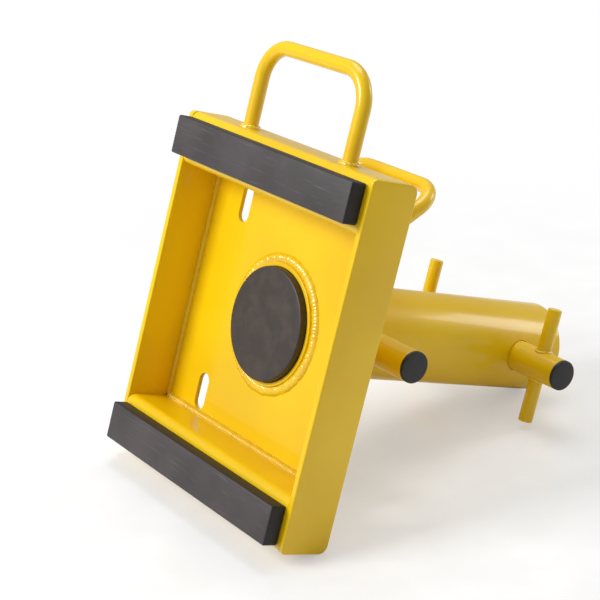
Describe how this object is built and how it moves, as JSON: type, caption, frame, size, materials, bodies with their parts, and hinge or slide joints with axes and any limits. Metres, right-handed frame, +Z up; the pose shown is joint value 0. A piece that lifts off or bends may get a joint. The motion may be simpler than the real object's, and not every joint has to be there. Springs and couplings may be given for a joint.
{
  "type": "rope lowering bollard",
  "caption": "Trunk-mounted rope friction bollard: a boxed steel back frame with rubber strips, a rope drum with cross tubes and cleat bars, a carry handle and a rope loop.",
  "frame": {"origin": "On the ground under the middle of the device's box, with the device lying as it rests by itself, on the back edge of its frame and on the drum's far end.", "axes": "+X across the frame, to the side where the outer cross tube sticks out less; +Y backwards, along the drum; +Z up. The frame leans back 19.9 degrees about X."},
  "size_m": [0.284, 0.4384, 0.3979],
  "materials": {
    "yellow_paint": "glossy golden-yellow powder coat over welded steel",
    "black_rubber": "matt black extruded rubber",
    "black_plastic": "satin black moulded plastic"
  },
  "bodies": {
    "frame": {"back_panel": "yellow_paint", "bottom_frame_tube": "yellow_paint", "bottom_rubber_strip": "black_rubber", "carry_handle": "yellow_paint", "drum_end_disc": "yellow_paint", "drum_tube": "yellow_paint", "hub_cap": "black_plastic", "hub_front_ring": "yellow_paint", "hub_rear_ring": "yellow_paint", "hub_tube": "yellow_paint", "inner_cross_tube": "yellow_paint", "inner_cross_tube_cap_left": "black_plastic", "inner_cross_tube_cap_right": "black_plastic", "rope_loop": "yellow_paint", "side_plate_left": "yellow_paint", "side_plate_right": "yellow_paint", "top_frame_tube": "yellow_paint", "top_rubber_strip": "black_rubber"},
    "outer_cross": {"cleat_bar_left": "yellow_paint", "cleat_bar_right": "yellow_paint", "outer_cross_tube": "yellow_paint", "outer_cross_tube_cap_left": "black_plastic", "outer_cross_tube_cap_right": "black_plastic"}
  },
  "joints": [
    {"name": "outer_cross_slide", "type": "slide", "parent": "frame", "child": "outer_cross", "axis": [1, 0, 0], "range_m": [-0.0225, 0.0545]}
  ]
}
